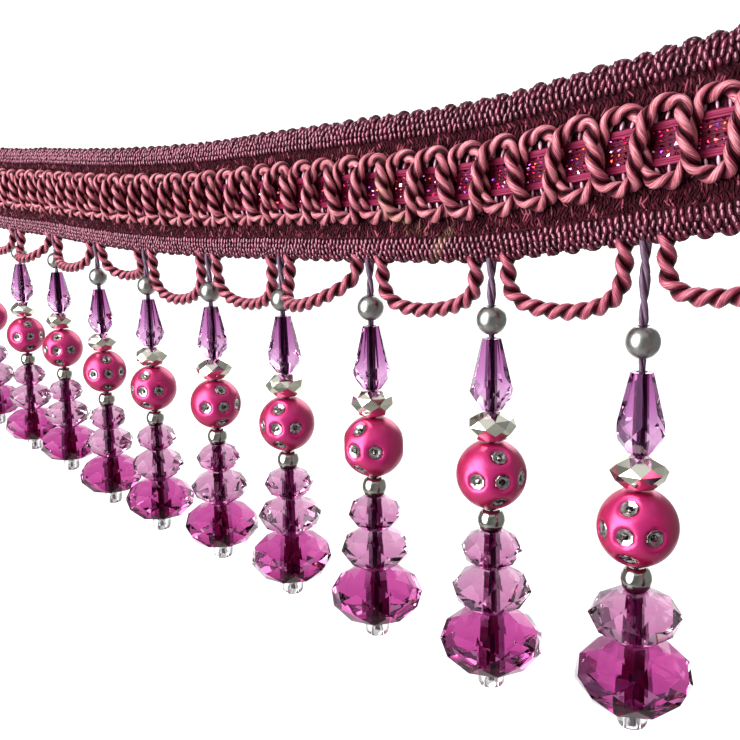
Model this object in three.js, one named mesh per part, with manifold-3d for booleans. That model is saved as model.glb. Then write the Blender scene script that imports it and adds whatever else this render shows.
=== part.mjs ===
// A length of beaded fringe trim: a woven braid with a metallic ribbon, two gimp cords wound
// over it, cord loops along its lower edge and a strung drop of beads between the loops.
// Millimetres, +Z up, +X along the braid, the face towards -Y. The origin is the middle of the
// upper edge, from which the trim hangs.

import * as THREE from 'three';
import { mergeVertices } from 'three/addons/utils/BufferGeometryUtils.js';
import Module from 'manifold-3d';

const wasm = await Module();
wasm.setup();

// The length and its repeat
const dropPitch = 33.8;
const dropCount = 11;
const cellsPerDrop = 4;
const cell = dropPitch / cellsPerDrop;
const cellCount = dropCount * cellsPerDrop;
const braidLength = dropPitch * dropCount;
const clearance = 0.3;

// The braid in the plan: a slight wave, flat across the middle cell
const waveDepth = 0.7;
const waveLength = 118;
const threadOut = 1.3;

// Heights below the upper edge
const braidHeight = 28.8;
const lowerBorderHeight = 4.9;
const ribbonMiddle = 14.0;
const ribbonHeight = 6.9;

// Thicknesses, out from the flat back
const groundOut = 1.5;
const borderOut = 2.6;
const ribbonThickness = 0.5;
const ribbonOut = groundOut + clearance;

// The gimp cords, flattened where they are sewn down
const gimpWidth = 2.1;
const gimpThickness = 1.6;
const gimpSwing = 6.1;
const gimpOverRibbon = ribbonOut + ribbonThickness + clearance + gimpThickness / 2;
const gimpOverCord = gimpOverRibbon + gimpThickness + clearance;
const gimpOnGround = groundOut + clearance + gimpThickness / 2;

// The loops and the bead threads
const loopThickness = 2.5;
const loopTurn = Math.PI / 4;
const loopSteps = 12;
const loopRootGap = 4.0;
const rootDepth = 1.2;
const threadWidth = 1.8;
const boreRadius = 1.0;
const threadInBore = 1.2;

// The beads
const ballRadius = 2.9;
const pearlRadius = 6.9;
const crystalSides = 8;
const pearlSides = 10;
const turnPerDrop = 0.65;

// One row for each drop, from the near end of the photo to its far end:
// along = shift along the braid, edge = height of the upper edge above it,
// thread = braid to the middle of the silver ball, fall = from there to the teardrop's widest
// ring, crystals = how many crystal rondelles it carries
const drops = [
  { along: 0.0, edge: 10.2, thread: 11.0, fall: 14.3, crystals: 3 },
  { along: -0.3, edge: 6.4, thread: 16.5, fall: 15.3, crystals: 2 },
  { along: 0.3, edge: 2.4, thread: 11.6, fall: 13.8, crystals: 3 },
  { along: 0.0, edge: 1.1, thread: 10.3, fall: 14.2, crystals: 3 },
  { along: 0.1, edge: 0.6, thread: 10.4, fall: 14.2, crystals: 3 },
  { along: -0.5, edge: 0.0, thread: 9.9, fall: 14.3, crystals: 3 },
  { along: -0.4, edge: 0.4, thread: 10.4, fall: 14.3, crystals: 3 },
  { along: 1.1, edge: 1.8, thread: 10.6, fall: 14.3, crystals: 3 },
  { along: -0.4, edge: 3.7, thread: 8.7, fall: 14.3, crystals: 3 },
  { along: 0.6, edge: 5.3, thread: 8.6, fall: 14.3, crystals: 3 },
  { along: -0.6, edge: 7.9, thread: 7.0, fall: 14.3, crystals: 3 },
];
const edgeBeyondNear = 14.0;
const edgeBeyondFar = 11.2;

// One row for each loop, from the near end: how deep it hangs and how far it swings out
const loops = [
  { depth: 9.8, swing: 0.4 },
  { depth: 10.7, swing: 0.0 },
  { depth: 10.2, swing: -1.4 },
  { depth: 10.0, swing: 4.6 },
  { depth: 12.4, swing: -0.8 },
  { depth: 13.3, swing: -1.2 },
  { depth: 9.0, swing: -4.0 },
  { depth: 9.3, swing: 2.4 },
  { depth: 9.2, swing: 4.6 },
  { depth: 9.5, swing: 0.8 },
];

// Sections of the braid, down from the upper edge and out from the back
const groundSection = [
  { down: 0.7, out: 0.0 },
  { down: 0.0, out: 1.0 },
  { down: 0.8, out: 2.3 },
  { down: 2.6, out: borderOut },
  { down: 4.4, out: 2.2 },
  { down: 4.9, out: groundOut },
  { down: braidHeight - lowerBorderHeight - clearance, out: groundOut },
  { down: braidHeight - lowerBorderHeight - clearance, out: 0.0 },
];
const borderTop = braidHeight - lowerBorderHeight;
const lowerBorderSection = [
  { down: borderTop, out: 0.0 },
  { down: borderTop, out: 1.6 },
  { down: borderTop + 0.6, out: 2.3 },
  { down: borderTop + 2.4, out: borderOut },
  { down: braidHeight - 0.7, out: 2.2 },
  { down: braidHeight, out: 1.2 },
  { down: braidHeight - 0.5, out: 0.0 },
];
const ribbonSection = [
  { down: ribbonMiddle - ribbonHeight / 2, out: ribbonOut },
  { down: ribbonMiddle - ribbonHeight / 2, out: ribbonOut + ribbonThickness },
  { down: ribbonMiddle + ribbonHeight / 2, out: ribbonOut + ribbonThickness },
  { down: ribbonMiddle + ribbonHeight / 2, out: ribbonOut },
];

// One winding of a gimp cord from bar to bar: share of the cell, share of the swing, place out
const frontGimpWinding = [
  { share: 0.0, swing: 0.0, out: gimpOverCord },
  { share: 0.12, swing: 0.42, out: gimpOverCord },
  { share: 0.22, swing: 0.84, out: gimpOnGround + 0.4 },
  { share: 0.5, swing: 1.0, out: gimpOnGround },
  { share: 0.78, swing: 0.84, out: gimpOnGround + 0.4 },
  { share: 0.88, swing: 0.42, out: gimpOverCord },
];
const backGimpWinding = [
  { share: 0.0, swing: 0.0, out: gimpOverRibbon },
  { share: 0.2, swing: 0.82, out: gimpOverRibbon - 0.2 },
  { share: 0.5, swing: 1.0, out: gimpOnGround },
  { share: 0.8, swing: 0.82, out: gimpOverRibbon - 0.2 },
];

// Bead profiles, radius and height above the bead's middle, down the outside from the bore
const ballProfile = arcRows(ballRadius, 4);
const teardropBottom = 3.7;
const teardropProfile = [
  { radius: boreRadius, height: 10.3 },
  { radius: 1.9, height: 10.3 },
  { radius: 4.1, height: 0.6 },
  { radius: 3.7, height: -1.3 },
  { radius: 1.8, height: -teardropBottom },
  { radius: boreRadius, height: -teardropBottom },
];
const rondelleHalf = 2.7;
const rondelleProfile = [
  { radius: boreRadius, height: rondelleHalf },
  { radius: 2.3, height: rondelleHalf },
  { radius: 4.8, height: 0.6 },
  { radius: 4.8, height: -0.6 },
  { radius: 2.6, height: -rondelleHalf },
  { radius: boreRadius, height: -rondelleHalf },
];
const pearlHalf = Math.sqrt(pearlRadius ** 2 - boreRadius ** 2);
const pearlProfile = arcRows(pearlRadius, 6);

// The lower stack, each bead's heights below the bead above it
const smallBallRows = [
  { radius: boreRadius, height: 0.0 },
  { radius: 1.7, height: 0.0 },
  { radius: 2.6, height: -2.0 },
  { radius: 1.9, height: -4.4 },
];
const firstCrystalRows = [
  { radius: 5.2, height: -1.7 },
  { radius: 5.9, height: -3.5 },
  { radius: 2.2, height: -6.9 },
];
const secondCrystalRows = [
  { radius: 6.6, height: -2.2 },
  { radius: 7.8, height: -5.0 },
  { radius: 2.6, height: -9.5 },
];
const thirdCrystalRows = [
  { radius: 8.3, height: -3.4 },
  { radius: 10.0, height: -6.4 },
  { radius: 8.7, height: -9.2 },
  { radius: 2.5, height: -12.7 },
];
const stopperRows = [
  { radius: 2.4, height: -2.6 },
  { radius: 1.6, height: -3.1 },
  { radius: boreRadius, height: -3.1 },
];

// Places down the thread, from the teardrop's widest ring
const rondelleFall = teardropBottom + clearance + rondelleHalf;
const pearlFall = rondelleFall + rondelleHalf + clearance + pearlHalf;
const stackFall = pearlFall + pearlHalf + clearance;

// How far the thread's end stays inside the last bead
const threadEndInset = 0.6;
// How much thread the shoulder takes to narrow above the silver ball
const shoulderLength = 0.4;

// Finishes
const finishes = {
  ground: { color: 0x541a30, roughness: 0.75, metalness: 0.0 },
  cord: { color: 0xc46a82, roughness: 0.55, metalness: 0.0 },
  ribbon: { color: 0xc2306a, roughness: 0.35, metalness: 0.4 },
  silver: { color: 0xb8b8b4, roughness: 0.28, metalness: 1.0 },
  amethyst: { color: 0xa04a90, roughness: 0.08, metalness: 0.0 },
  pearl: { color: 0xe0409a, roughness: 0.2, metalness: 0.0 },
  crystal: { color: 0xb0308c, roughness: 0.06, metalness: 0.0 },
};

const group = new THREE.Group();

function addPiece(name, geometry, finish) {
  const mesh = new THREE.Mesh(geometry, new THREE.MeshStandardMaterial(finishes[finish]));
  mesh.name = name;
  group.add(mesh);
  return mesh;
}

// Rows of a round bead from the top of its bore to the bottom
function arcRows(radius, steps) {
  const start = Math.asin(boreRadius / radius);
  return Array.from({ length: steps + 1 }, (_, i) => {
    const angle = start + ((Math.PI - 2 * start) * i) / steps;
    return { radius: radius * Math.sin(angle), height: radius * Math.cos(angle) };
  });
}

// The upper edge as it hangs, a smooth curve through the height at each drop
const edgeCurve = new THREE.SplineCurve(
  [edgeBeyondNear, ...drops.map((drop) => drop.edge), edgeBeyondFar].map(
    (height, i) => new THREE.Vector2((dropCount + 1) / 2 - i, height),
  ),
);

function edgeHeight(along) {
  const share = 0.5 - along / dropPitch / (dropCount + 1);
  return edgeCurve.getPoint(share).y;
}

function backY(along) {
  return threadOut + waveDepth * Math.cos((2 * Math.PI * (along - cell / 2)) / waveLength);
}

// A point of the braid, along it, down from its upper edge and out from its back
function onBraid(along, down, out) {
  return new THREE.Vector3(along, backY(along) - out, edgeHeight(along) - down);
}

// A closed skin over rings of points, with a flat end on the first and the last ring
function skinOver(rings) {
  const size = rings[0].length;
  const positions = rings.flat().flatMap((point) => point.toArray());
  const faces = [];
  for (let r = 0; r + 1 < rings.length; r += 1) {
    for (let i = 0; i < size; i += 1) {
      const a = r * size + i;
      const b = r * size + ((i + 1) % size);
      faces.push([a, b, b + size], [a, b + size, a + size]);
    }
  }
  const last = (rings.length - 1) * size;
  for (const [a, b, c] of endFaces(rings[0])) {
    faces.push([c, b, a], [last + a, last + b, last + c]);
  }
  const geometry = new THREE.BufferGeometry();
  geometry.setAttribute('position', new THREE.Float32BufferAttribute(positions, 3));
  geometry.setIndex(turnedOutward(positions, faces).flat());
  geometry.computeVertexNormals();
  return geometry;
}

// Triangles of a flat ring, found in the plane it lies in
function endFaces(ring) {
  const middle = ring.reduce((sum, p) => sum.add(p), new THREE.Vector3()).divideScalar(ring.length);
  const normal = new THREE.Vector3();
  ring.forEach((p, i) => {
    const next = ring[(i + 1) % ring.length];
    normal.add(p.clone().sub(middle).cross(next.clone().sub(middle)));
  });
  normal.normalize();
  const across = ring[0].clone().sub(middle).projectOnPlane(normal).normalize();
  const upward = normal.clone().cross(across);
  const flat = ring.map((p) => {
    const offset = p.clone().sub(middle);
    return new THREE.Vector2(offset.dot(across), offset.dot(upward));
  });
  return THREE.ShapeUtils.triangulateShape(flat, []);
}

// Turns the faces round where they enclose a negative volume
function turnedOutward(positions, faces) {
  const corner = (i) => new THREE.Vector3().fromArray(positions, 3 * i);
  const volume = faces.reduce(
    (sum, [a, b, c]) => sum + corner(a).dot(corner(b).cross(corner(c))),
    0,
  );
  return volume > 0 ? faces : faces.map(([a, b, c]) => [c, b, a]);
}

// A band of the braid with the same section all along, one ring at each bar
function braidBand(section) {
  const rings = [];
  for (let i = 0; i <= cellCount; i += 1) {
    const along = (i - cellCount / 2) * cell;
    rings.push(section.map(({ down, out }) => onBraid(along, down, out)));
  }
  return skinOver(rings);
}

// A gimp cord wound up and down over the ribbon, first above it or first below it.
// Each of its ends is cut flush with the braid.
function gimpCord(winding, firstSide) {
  const path = [];
  for (let i = 0; i < cellCount; i += 1) {
    const side = i % 2 === 0 ? firstSide : -firstSide;
    for (const { share, swing, out } of winding) {
      path.push({ along: (i + share - cellCount / 2) * cell, up: side * swing * gimpSwing, out });
    }
  }
  path[0].along += gimpWidth / 2;
  path.push({ along: braidLength / 2 - gimpWidth / 2, up: 0, out: winding[0].out });
  return skinOver(path.map((point, i) => {
    const before = path[Math.max(i - 1, 0)];
    const after = path[Math.min(i + 1, path.length - 1)];
    const way = new THREE.Vector2(after.along - before.along, after.up - before.up).normalize();
    const corners = [[-1, -1], [1, -1], [1, 1], [-1, 1]];
    return corners.map(([across, outward]) => onBraid(
      point.along - (way.y * across * gimpWidth) / 2,
      ribbonMiddle - point.up - (way.x * across * gimpWidth) / 2,
      point.out + (outward * gimpThickness) / 2,
    ));
  }));
}

function dropAlong(index) {
  return ((dropCount - 1) / 2 - index) * dropPitch + drops[index].along;
}

// A hanging cord loop of square section, turned step by step as its two plies twist
function cordLoop(index) {
  const { depth, swing } = loops[index];
  const near = dropAlong(index) - loopRootGap;
  const far = dropAlong(index + 1) + loopRootGap;
  const middle = (near + far) / 2;
  const half = (near - far) / 2;
  const path = [onBraid(far, braidHeight - rootDepth, threadOut)];
  for (let i = 0; i <= loopSteps; i += 1) {
    const angle = (Math.PI * i) / loopSteps;
    const fall = depth * Math.sin(angle) ** 0.85;
    const along = middle - half * Math.cos(angle);
    path.push(onBraid(along, braidHeight + fall, threadOut + swing * Math.sin(angle)));
  }
  path.push(onBraid(near, braidHeight - rootDepth, threadOut));
  return skinOver(path.map((point, i) => {
    const before = path[Math.max(i - 1, 0)];
    const after = path[Math.min(i + 1, path.length - 1)];
    const way = after.clone().sub(before).normalize();
    const side = new THREE.Vector3(0, 1, 0).projectOnPlane(way).normalize();
    const other = way.clone().cross(side);
    return [0, 1, 2, 3].map((k) => {
      const angle = (k * Math.PI) / 2 + i * loopTurn;
      return point.clone()
        .addScaledVector(side, (Math.cos(angle) * loopThickness) / 2)
        .addScaledVector(other, (Math.sin(angle) * loopThickness) / 2);
    });
  }));
}

// Where a drop's beads hang, in heights above the silver ball's middle
function dropFalls({ fall, crystals }) {
  return {
    teardrop: -fall,
    rondelle: -fall - rondelleFall,
    pearl: -fall - pearlFall,
    stack: -fall - stackFall,
    end: -fall - stackFall + stackRows(crystals).at(-1).height,
  };
}

// A bead thread: wide down to the silver ball, then slim through every bore
function beadThread(index) {
  const along = dropAlong(index);
  const root = onBraid(along, braidHeight - rootDepth, threadOut);
  const ball = onBraid(along, braidHeight + drops[index].thread, threadOut);
  const shoulder = ball.z + ballRadius + clearance;
  const levels = [
    { height: root.z, width: threadWidth },
    { height: shoulder, width: threadWidth },
    { height: shoulder - shoulderLength, width: threadInBore },
    { height: ball.z + dropFalls(drops[index]).end + threadEndInset, width: threadInBore },
  ];
  return skinOver(levels.map(({ height, width }) => [0, 1, 2, 3].map((k) => {
    const angle = (k * Math.PI) / 2;
    const x = root.x + (Math.cos(angle) * width) / 2;
    const y = root.y + (Math.sin(angle) * width) / 2;
    return new THREE.Vector3(x, y, height);
  })));
}

function asSolid(geometry) {
  const bare = geometry.clone();
  bare.deleteAttribute('normal');
  const merged = mergeVertices(bare);
  return new wasm.Manifold(new wasm.Mesh({
    numProp: 3,
    vertProperties: new Float32Array(merged.attributes.position.array),
    triVerts: new Uint32Array(merged.index.array),
  }));
}

// The lower border with every loop and thread joined to it
function fringe() {
  let solid = asSolid(braidBand(lowerBorderSection));
  loops.forEach((_, i) => {
    solid = solid.add(asSolid(cordLoop(i)));
  });
  drops.forEach((_, i) => {
    solid = solid.add(asSolid(beadThread(i)));
  });
  const mesh = solid.getMesh();
  const geometry = new THREE.BufferGeometry();
  geometry.setAttribute('position', new THREE.Float32BufferAttribute(mesh.vertProperties, 3));
  geometry.setIndex(Array.from(mesh.triVerts));
  geometry.computeVertexNormals();
  return geometry;
}

// A bead turned about its thread, from a profile that closes on itself
function turnedBead(rows, sides) {
  const profile = [...rows, rows[0]].map(({ radius, height }) => new THREE.Vector2(radius, height));
  const geometry = new THREE.LatheGeometry(profile.reverse(), sides);
  geometry.rotateX(Math.PI / 2);
  return geometry;
}

// Rows of the lower stack, each bead's own rows moved down under the one before
function stackRows(crystals) {
  const beads = [smallBallRows, firstCrystalRows, secondCrystalRows, thirdCrystalRows, stopperRows];
  const worn = crystals === 3 ? beads : beads.filter((rows) => rows !== firstCrystalRows);
  let top = 0;
  return worn.flatMap((rows) => {
    const placed = rows.map(({ radius, height }) => ({ radius, height: top + height }));
    top = placed.at(-1).height;
    return placed;
  });
}

function hangBead(name, index, height, geometry, finish) {
  const bead = addPiece(name, geometry, finish);
  const ball = onBraid(dropAlong(index), braidHeight + drops[index].thread, threadOut);
  bead.position.set(ball.x, ball.y, ball.z + height);
  bead.rotation.z = index * turnPerDrop;
}

addPiece('braid_ground', braidBand(groundSection), 'ground');
addPiece('ribbon', braidBand(ribbonSection), 'ribbon');
addPiece('gimp_cord_front', gimpCord(frontGimpWinding, 1), 'cord');
addPiece('gimp_cord_back', gimpCord(backGimpWinding, -1), 'cord');
addPiece('fringe', fringe(), 'ground');

drops.forEach((drop, index) => {
  const number = String(index + 1).padStart(2, '0');
  const falls = dropFalls(drop);
  hangBead(`silver_ball_${number}`, index, 0, turnedBead(ballProfile, 8), 'silver');
  hangBead(`teardrop_${number}`, index, falls.teardrop,
    turnedBead(teardropProfile, crystalSides), 'amethyst');
  hangBead(`silver_rondelle_${number}`, index, falls.rondelle,
    turnedBead(rondelleProfile, crystalSides), 'silver');
  hangBead(`pearl_${number}`, index, falls.pearl, turnedBead(pearlProfile, pearlSides), 'pearl');
  hangBead(`crystal_stack_${number}`, index, falls.stack,
    turnedBead(stackRows(drop.crystals), crystalSides), 'crystal');
});

export default group;
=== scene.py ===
import math

import bmesh
import bpy
import numpy as np
from mathutils import Matrix, Vector


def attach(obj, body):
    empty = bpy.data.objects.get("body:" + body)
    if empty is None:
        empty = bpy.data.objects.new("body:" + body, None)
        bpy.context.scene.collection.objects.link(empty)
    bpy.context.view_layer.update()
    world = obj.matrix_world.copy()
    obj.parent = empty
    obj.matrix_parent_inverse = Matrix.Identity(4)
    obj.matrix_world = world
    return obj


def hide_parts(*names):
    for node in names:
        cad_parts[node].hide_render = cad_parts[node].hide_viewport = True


# A length of beaded fringe trim, hung by its upper edge. Sizes are in millimetres until a mesh is
# made. A pattern on Object coordinates has its scale in repeats for each millimetre.
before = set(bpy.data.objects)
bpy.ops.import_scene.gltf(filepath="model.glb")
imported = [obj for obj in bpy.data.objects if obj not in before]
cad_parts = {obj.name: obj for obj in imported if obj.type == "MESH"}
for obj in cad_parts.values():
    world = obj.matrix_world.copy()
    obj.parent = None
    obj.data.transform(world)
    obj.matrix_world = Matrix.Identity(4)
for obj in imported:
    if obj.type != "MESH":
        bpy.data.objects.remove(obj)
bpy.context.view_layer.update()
scene = bpy.context.scene
scene.view_settings.view_transform = "Standard"
mm = 0.001
fullTurn = 2 * math.pi
print("frame loaded:", len(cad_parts), "nodes")


# Small tools

def colour(hexCode):
    parts = [int(hexCode[i : i + 2], 16) / 255 for i in (1, 3, 5)]
    linear = [c / 12.92 if c <= 0.04045 else ((c + 0.055) / 1.055) ** 2.4 for c in parts]
    return (*linear, 1.0)


# A socket is given a value, or a link from another node's output
def setSockets(tree, node, values):
    for socket, value in values.items():
        target = node.inputs[socket]
        if isinstance(value, bpy.types.NodeSocket):
            tree.links.new(value, target)
        else:
            target.default_value = value


def addNode(tree, kind, values=None, **settings):
    node = tree.nodes.new(kind)
    for name, value in settings.items():
        setattr(node, name, value)
    setSockets(tree, node, values or {})
    return node


def setStops(ramp, stops):
    band = ramp.color_ramp
    while len(band.elements) < len(stops):
        band.elements.new(1.0)
    for element, (place, hexCode) in zip(band.elements, stops):
        element.position = place
        element.color = colour(hexCode)


def newMaterial(name, finish):
    material = bpy.data.materials.new(name)
    material.use_nodes = True
    tree = material.node_tree
    shader = tree.nodes["Principled BSDF"]
    setSockets(tree, shader, finish)
    return material, tree, shader


def newPiece(name, mesh, material, smooth=True):
    piece = bpy.data.objects.new(name, mesh)
    scene.collection.objects.link(piece)
    mesh.materials.clear()
    mesh.materials.append(material)
    mesh.polygons.foreach_set("use_smooth", [smooth] * len(mesh.polygons))
    return piece


def meshFrom(name, points, faces):
    mesh = bpy.data.meshes.new(name)
    mesh.from_pydata((np.asarray(points, float) * mm).tolist(), [], faces)
    mesh.update()
    return mesh


def facedOutward(points, faces):
    points = np.asarray(points, float)
    volume = 0.0
    for face in faces:
        for second, third in zip(face[1:], face[2:]):
            volume += np.dot(points[face[0]], np.cross(points[second], points[third]))
    return faces if volume > 0 else [face[::-1] for face in faces]


def setVectors(mesh, name, values):
    attribute = mesh.attributes.new(name, "FLOAT_VECTOR", "POINT")
    attribute.data.foreach_set("vector", np.asarray(values, np.float32).ravel())


def setNumbers(mesh, name, values):
    attribute = mesh.attributes.new(name, "FLOAT", "POINT")
    attribute.data.foreach_set("value", np.asarray(values, np.float32))


# Camera, matched to the photograph
camera = {
    "place": (0.2245, -0.1351, -0.0146),
    "yaw": 49.53,
    "pitch": 10.18,
    "roll": -1.25,
    "lens": 46.7,
    "sensor": 36,
    "nearest": 0.01,
}


def addCamera():
    yaw, pitch, roll = (math.radians(camera[k]) for k in ("yaw", "pitch", "roll"))
    forward = Vector(
        (-math.sin(yaw) * math.cos(pitch), math.cos(yaw) * math.cos(pitch), -math.sin(pitch))
    )
    right = Vector((math.cos(yaw), math.sin(yaw), 0))
    up = right.cross(forward)
    across = math.cos(roll) * right + math.sin(roll) * up
    upright = -math.sin(roll) * right + math.cos(roll) * up
    eye = bpy.data.objects.new("camera", bpy.data.cameras.new("camera"))
    turned = Matrix((across, upright, -forward)).transposed()
    eye.matrix_world = Matrix.Translation(camera["place"]) @ turned.to_4x4()
    eye.data.lens = camera["lens"]
    eye.data.sensor_width = camera["sensor"]
    eye.data.clip_start = camera["nearest"]
    scene.collection.objects.link(eye)
    scene.camera = eye


addCamera()

# Studio: a round pale sweep, a large soft key from the left, weak lights above and behind
studio = {
    "floorHeight": -800.0,
    "floorRadius": 1500.0,
    "bendRadius": 500.0,
    "bendSteps": 12,
    "sides": 64,
    "wallHeight": 2400.0,
    "worldStrength": 0.26,
    "glow": 1.0,
    "ahead": (-0.761, 0.649, 0.0),
    "across": (0.649, 0.761, 0.0),
    "glowAhead": (0.2, 0.9),
    "glowAcross": (1.5, 0.97),
    "aim": (0.03, 0, -0.05),
}
lights = {
    "key": {"place": (-0.22, -0.97, 0.2), "size": (1.1, 1.7), "power": 34.0},
    "top": {"place": (0.15, -0.3, 1.2), "size": (2.6, 2.6), "power": 9.0},
    "back": {"place": (-0.30, 0.80, 0.45), "size": (0.8, 0.8), "power": 4.0},
}


def addStudio():
    rows = [(1.0, 0.0), (studio["floorRadius"], 0.0)]
    bend = studio["bendRadius"]
    for i in range(1, studio["bendSteps"] + 1):
        angle = math.pi / 2 * i / studio["bendSteps"]
        rows.append((studio["floorRadius"] + bend * math.sin(angle), bend - bend * math.cos(angle)))
    rows.append((studio["floorRadius"] + bend, studio["wallHeight"]))
    sides = studio["sides"]
    points = []
    for radius, height in rows:
        for k in range(sides):
            angle = fullTurn * k / sides
            points.append(
                (radius * math.cos(angle), radius * math.sin(angle), height + studio["floorHeight"])
            )
    faces = [list(range(sides))]
    for r in range(len(rows) - 1):
        for k in range(sides):
            n = (k + 1) % sides
            faces.append([r * sides + k, (r + 1) * sides + k, (r + 1) * sides + n, r * sides + n])
    # Matt paper that glows as painted light, not a lamp: brightest behind the object where the camera
    # looks, so that the rest stays dim
    paper, tree, shader = newMaterial(
        "glowingStudioPaper",
        {
            "Base Color": colour("#b0b0b0"),
            "Roughness": 0.9,
            "Specular IOR Level": 0.1,
            "Emission Color": colour("#ffffff"),
        },
    )
    place = addNode(tree, "ShaderNodeTexCoord")
    shares = []
    for direction, (darkFrom, brightFrom) in (
        (studio["ahead"], studio["glowAhead"]),
        (studio["across"], studio["glowAcross"]),
    ):
        reach = addNode(
            tree,
            "ShaderNodeVectorMath",
            {0: place.outputs["Object"], 1: direction},
            operation="DOT_PRODUCT",
        )
        if direction == studio["across"]:
            reach = addNode(tree, "ShaderNodeMath", {0: reach.outputs["Value"]}, operation="ABSOLUTE")
        share = addNode(
            tree,
            "ShaderNodeMapRange",
            {"Value": reach.outputs["Value"], "From Min": darkFrom, "From Max": brightFrom},
            interpolation_type="SMOOTHSTEP",
        )
        shares.append(share.outputs["Result"])
    both = addNode(tree, "ShaderNodeMath", dict(enumerate(shares)), operation="MULTIPLY")
    glow = addNode(
        tree, "ShaderNodeMath", {0: both.outputs[0], 1: studio["glow"]}, operation="MULTIPLY"
    )
    setSockets(tree, shader, {"Emission Strength": glow.outputs[0]})
    sweep = newPiece("studioSweep", meshFrom("studioSweep", points, faces), paper)
    world = bpy.data.worlds.new("studioAir")
    world.use_nodes = True
    background = world.node_tree.nodes["Background"]
    background.inputs["Color"].default_value = colour("#f2f4ff")
    background.inputs["Strength"].default_value = studio["worldStrength"]
    scene.world = world
    for name, light in lights.items():
        lamp = bpy.data.objects.new(name, bpy.data.lights.new(name, "AREA"))
        lamp.data.shape = "ELLIPSE"
        lamp.data.size, lamp.data.size_y = light["size"]
        lamp.data.energy = light["power"]
        lamp.location = light["place"]
        aim = Vector(studio["aim"]) - Vector(light["place"])
        lamp.rotation_euler = aim.to_track_quat("-Z", "Y").to_euler()
        scene.collection.objects.link(lamp)


addStudio()
print("camera and studio ready")

# The braid as it hangs, the same line and heights as the solids
braid = {
    "pitch": 33.8,
    "drops": 11,
    "cell": 8.45,
    "cells": 44,
    "length": 371.8,
    "height": 28.8,
    "waveDepth": 0.7,
    "waveLength": 118.0,
    "threadOut": 1.3,
    "edgeBeyondNear": 14.0,
    "edgeBeyondFar": 11.2,
    "endInset": 0.6,
}
# One row for each drop from the near end: its shift along the braid, the height of the upper edge
# there, its thread down to the silver ball, the fall from the ball to the teardrop, its count of
# crystals, and the turn of its set stones in degrees
dropColumns = ("shift", "edge", "thread", "fall", "crystals", "turn")
dropRows = [
    (0.0, 10.2, 11.0, 14.3, 3, -64),
    (-0.3, 6.4, 16.5, 15.3, 2, -75),
    (0.3, 2.4, 11.6, 13.8, 3, -28),
    (0.0, 1.1, 10.3, 14.2, 3, -82),
    (0.1, 0.6, 10.4, 14.2, 3, -60),
    (-0.5, 0.0, 9.9, 14.3, 3, -11),
    (-0.4, 0.4, 10.4, 14.3, 3, -58),
    (1.1, 1.8, 10.6, 14.3, 3, -15),
    (-0.4, 3.7, 8.7, 14.3, 3, -42),
    (0.6, 5.3, 8.6, 14.3, 3, -6),
    (-0.6, 7.9, 7.0, 14.3, 3, -41),
]
drops = [dict(zip(dropColumns, row)) for row in dropRows]
edgeHeights = np.array(
    [braid["edgeBeyondNear"], *(drop["edge"] for drop in drops), braid["edgeBeyondFar"]]
)


# The upper edge is a smooth curve through those heights
def edgeHeight(along):
    last = len(edgeHeights) - 1
    place = (0.5 - np.asarray(along, float) / braid["pitch"] / (braid["drops"] + 1)) * last
    place = np.clip(place, 0, last)
    index = np.minimum(place.astype(int), last - 1)
    t = place - index
    before = edgeHeights[np.maximum(index - 1, 0)]
    here = edgeHeights[index]
    ahead = edgeHeights[index + 1]
    beyond = edgeHeights[np.minimum(index + 2, last)]
    leaving = (ahead - before) / 2
    arriving = (beyond - here) / 2
    return (
        (2 * here - 2 * ahead + leaving + arriving) * t**3
        + (-3 * here + 3 * ahead - 2 * leaving - arriving) * t**2
        + leaving * t
        + here
    )


def backY(along):
    angle = fullTurn * (np.asarray(along, float) - braid["cell"] / 2) / braid["waveLength"]
    return braid["threadOut"] + braid["waveDepth"] * np.cos(angle)


# A place on the braid: along it, down from its upper edge, out from its flat back
def onBraid(along, down, out):
    along, down, out = np.broadcast_arrays(*(np.asarray(v, float) for v in (along, down, out)))
    return np.stack([along, backY(along) - out, edgeHeight(along) - down], axis=-1)


def dropAlong(index):
    return ((braid["drops"] - 1) / 2 - index) * braid["pitch"] + drops[index]["shift"]


# Geometry Nodes: one tree for rows of sewn stitches, one for two-ply cords, one for strung beads

def newTree(name, sockets):
    tree = bpy.data.node_groups.new(name, "GeometryNodeTree")
    tree.interface.new_socket("Geometry", in_out="INPUT", socket_type="NodeSocketGeometry")
    for label, kind in sockets.items():
        tree.interface.new_socket(label, in_out="INPUT", socket_type="NodeSocket" + kind)
    tree.interface.new_socket("Geometry", in_out="OUTPUT", socket_type="NodeSocketGeometry")
    start = addNode(tree, "NodeGroupInput")
    return tree, start.outputs


# Runs a tree on a base mesh and keeps the result as a plain mesh piece
def grow(name, base, tree, values, material, smooth=True):
    carrier = bpy.data.objects.new(name + "Base", base)
    scene.collection.objects.link(carrier)
    modifier = carrier.modifiers.new(name, "NODES")
    modifier.node_group = tree
    values = {**values, "Material": material}
    for item in tree.interface.items_tree:
        if item.in_out == "INPUT" and item.name in values:
            modifier[item.identifier] = values[item.name]
    bpy.context.view_layer.update()
    depsgraph = bpy.context.evaluated_depsgraph_get()
    mesh = bpy.data.meshes.new_from_object(
        carrier.evaluated_get(depsgraph), preserve_all_data_layers=True, depsgraph=depsgraph
    )
    mesh.name = name
    bpy.data.objects.remove(carrier)
    piece = newPiece(name, mesh, material, smooth)
    print(name, "faces:", len(mesh.polygons))
    return piece


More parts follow.
